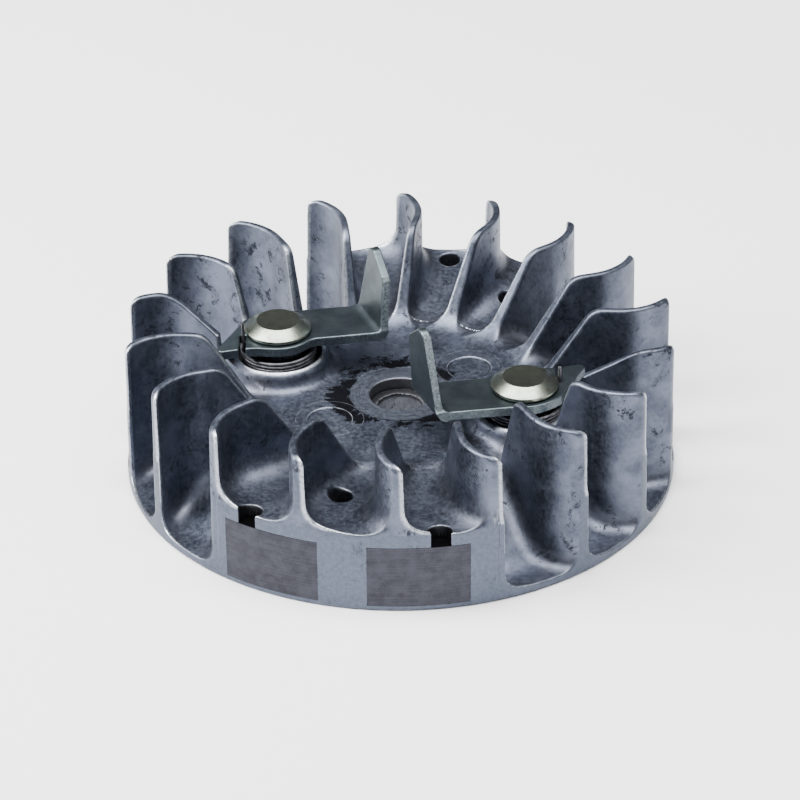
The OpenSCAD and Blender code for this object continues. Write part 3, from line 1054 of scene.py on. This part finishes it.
def passivated_steel():
    """Yellowish zinc on the turned studs; the flat land on top is duller and olive."""
    colour = (0.29, 0.32, 0.265)
    land = (0.075, 0.082, 0.066)
    s = Shader("passivated_steel", colour, 1.0, 0.22)
    flat = s.ramp(s.facing_up(), 0.96, 0.99)
    cloud = s.ramp(s.noise(1.8, 7, 0.65), 0.35, 0.65)
    tarnish = s.ramp(s.noise(1.3, 10, 0.8), 0.51, 0.58)
    worn = s.mix(cloud, colour, tuple(c * 0.85 for c in colour))
    worn = s.mix(s.math("MULTIPLY", tarnish, 0.6), worn, (0.17, 0.14, 0.11))
    land_colour = s.mix(cloud, land, tuple(c * 0.8 for c in land))
    s.colour(s.mix(flat, worn, land_colour))
    s.roughness(s.ramp(flat, 0, 1, 0.30, 0.45))
    s.bump([(s.noise(0.25, 3), 0.01)])
    return s.material


def spring_steel():
    """Dull oiled wire."""
    s = Shader("spring_wire", (0.12, 0.12, 0.13), 1.0, 0.48)
    cloud = s.ramp(s.noise(1.2, 5), 0.35, 0.65)
    s.colour(s.mix(cloud, (0.10, 0.10, 0.11), (0.20, 0.20, 0.215)))
    s.bump([(s.noise(0.2, 3), 0.01)])
    return s.material


def magnet_block():
    """Ground ferrite-grey block, sealed between the shoes."""
    s = Shader("magnet", (0.22, 0.22, 0.24), 1.0, 0.55)
    grain = s.ramp(s.noise(0.4, 6), 0.3, 0.7)
    s.colour(s.mix(grain, (0.14, 0.14, 0.155), (0.24, 0.24, 0.26)))
    s.bump([(grain, 0.01)])
    return s.material


# ---- building the pieces ----


def dressed(obj, body, node, material):
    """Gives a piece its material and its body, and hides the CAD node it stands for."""
    obj.data.materials.append(material)
    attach(obj, body)
    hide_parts(node)


def mark_turned(mesh):
    """Marks the faces cut on the lathe at the rim, by radius and by the way they face."""
    p, n = points_and_normals(mesh)
    r = np.hypot(p[:, 0], p[:, 1])
    outward = (n[:, 0] * p[:, 0] + n[:, 1] * p[:, 1]) / np.maximum(r, 1e-6)
    near = (r > RIM - 0.2) & (p[:, 2] < DRAFT_FROM + 0.1)
    store(mesh, "turned", np.where(near, np.clip((outward - 0.7) / 0.2, 0, 1), 0))


def mark_sheared(mesh):
    """Marks a pawl's sheared sides: the faces that don't belong to either side of the sheet, fully on the
    lug and at 0.3 on the plate, the lug's extra share a painted highlight.
    """
    p, n = points_and_normals(mesh)
    out = (p[:, :2] - BEND_FAR) @ BEND_OUT
    lean = np.where(out > -2.5, n[:, :2] @ BEND_OUT, 0)
    along_sheet = np.hypot(n[:, 2], lean)
    # The lug's sheared sides get full weight and the plate's 0.3: painted highlight on the lug.
    on_lug = np.clip((p[:, 2] - PLATE - PLATE_T) / 1.5, 0, 1)
    store(mesh, "sheared", np.clip((0.8 - along_sheet) / 0.3, 0, 1) * (0.3 + 0.7 * on_lug))


casting_step = 0.3
casting = from_field(
    "rotor_casting_skin", rotor_field, *CASTING, step=casting_step, keep=0.35, edge_reach=0.6
)
mark_turned(casting.data)
dressed(casting, "rotor", "rotor_casting", cast_aluminium())

steel_stack = laminated_steel()
chance = np.random.default_rng(7)
for side, centre, magnet_side in zip(("leading", "trailing"), SHOE_CENTRES, (1, -1)):
    shoe = pole_shoe(f"pole_shoe_{side}_stack", centre, magnet_side, chance)
    dressed(shoe, "rotor", f"pole_shoe_{side}", steel_stack)

zinc = zinc_plate()
stud_metal = passivated_steel()
wire = spring_steel()
pawl_step = 0.16
# A box round the blank, in pawl axes.
pawl_low = (-9.0, -13.5, PLATE)
pawl_high = (21.8, 18.5, PAWL_TOP)
for joint, (sx, sy) in zip(JOINTS, STUD_SPOTS):
    side = joint["name"].split("_")[0]
    heading = math.atan2(-sy, -sx)
    blank = f"starter_pawl_{side}_blank"
    pawl = from_field(
        blank, pawl_field, pawl_low, pawl_high, step=pawl_step, keep=0.5, edge_reach=0.35
    )
    mark_sheared(pawl.data)
    pawl.data.transform(Matrix.Translation((sx * MM, sy * MM, 0)) @ Matrix.Rotation(heading, 4, "Z"))
    dressed(pawl, joint["child"], f"starter_pawl_{side}", zinc)
    head = stud(f"pivot_stud_{side}_turned", (sx, sy))
    dressed(head, "rotor", f"pivot_stud_{side}", stud_metal)
    route = [(sx + x, sy + y, z) for x, y, z in spring_path(heading)]
    coil = tube(f"pawl_spring_{side}_wound", route, WIRE_R)
    coil.data.materials.append(wire)
    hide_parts(f"pawl_spring_{side}")
    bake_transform(coil)

# The magnet is sealed in and can't be seen, so its CAD node only gets a material.
magnet = frame["nodes"]["ignition_magnet"]
magnet.data.materials.clear()
magnet.data.materials.append(magnet_block())

# ---- floor, light and camera ----

VIEW_AZIMUTH = math.radians(10.5)
VIEW_ELEVATION = math.radians(32.0)
VIEW_DISTANCE = 0.8224
VIEW_ROLL = math.radians(-0.61)
PART_MIDDLE = 0.016


def floor():
    """A pale, matt floor that runs out of every view."""
    bpy.ops.mesh.primitive_plane_add(size=6, location=(0, 0, -0.0001))
    plane = bpy.context.object
    plane.name = "floor"
    s = Shader("floor", (0.92, 0.92, 0.93), 0.0, 0.9)
    plane.data.materials.append(s.material)


def direction(azimuth, elevation):
    """Unit vector from the part to a place at this azimuth, counted from the front, and elevation."""
    flat = math.cos(elevation)
    return Vector((math.sin(azimuth) * flat, -math.cos(azimuth) * flat, math.sin(elevation)))


def lamp(name, azimuth, elevation, distance, size, power):
    """A rectangular soft light aimed at the middle of the part, its azimuth and elevation in degrees."""
    data = bpy.data.lights.new(name, "AREA")
    data.shape = "RECTANGLE"
    data.size, data.size_y = size
    data.energy = power
    made = linked(name, data)
    back = direction(math.radians(azimuth), math.radians(elevation))
    made.location = back * distance + Vector((0, 0, PART_MIDDLE))
    made.rotation_euler = (-back).to_track_quat("-Z", "Y").to_euler()


def camera():
    """A long lens aimed at the origin; the shift raises the view to the part's middle."""
    data = bpy.data.cameras.new("camera")
    data.sensor_width = 36
    data.lens = 183.2
    data.shift_x = -0.0011
    data.shift_y = 0.0725
    made = linked("camera", data)
    back = direction(VIEW_AZIMUTH, VIEW_ELEVATION)
    facing = (-back).to_track_quat("-Z", "Y").to_matrix().to_4x4()
    roll = Matrix.Rotation(VIEW_ROLL, 4, "Z")
    made.matrix_world = Matrix.Translation(back * VIEW_DISTANCE) @ facing @ roll
    bpy.context.scene.camera = made


floor()
lamp("overhead_softbox", azimuth=0, elevation=86, distance=0.9, size=(1.0, 0.7), power=29)
lamp("left_softbox", azimuth=-75, elevation=36, distance=0.8, size=(0.35, 0.7), power=16)
lamp("right_strip", azimuth=80, elevation=24, distance=0.8, size=(0.22, 0.7), power=0.8)
lamp("front_softbox", azimuth=10, elevation=12, distance=1.0, size=(0.8, 0.25), power=1.1)
world = bpy.data.worlds.new("studio")
world.use_nodes = True
background = world.node_tree.nodes["Background"]
background.inputs["Color"].default_value = (0.80, 0.86, 1.0, 1)
background.inputs["Strength"].default_value = 0.16
bpy.context.scene.world = world
camera()
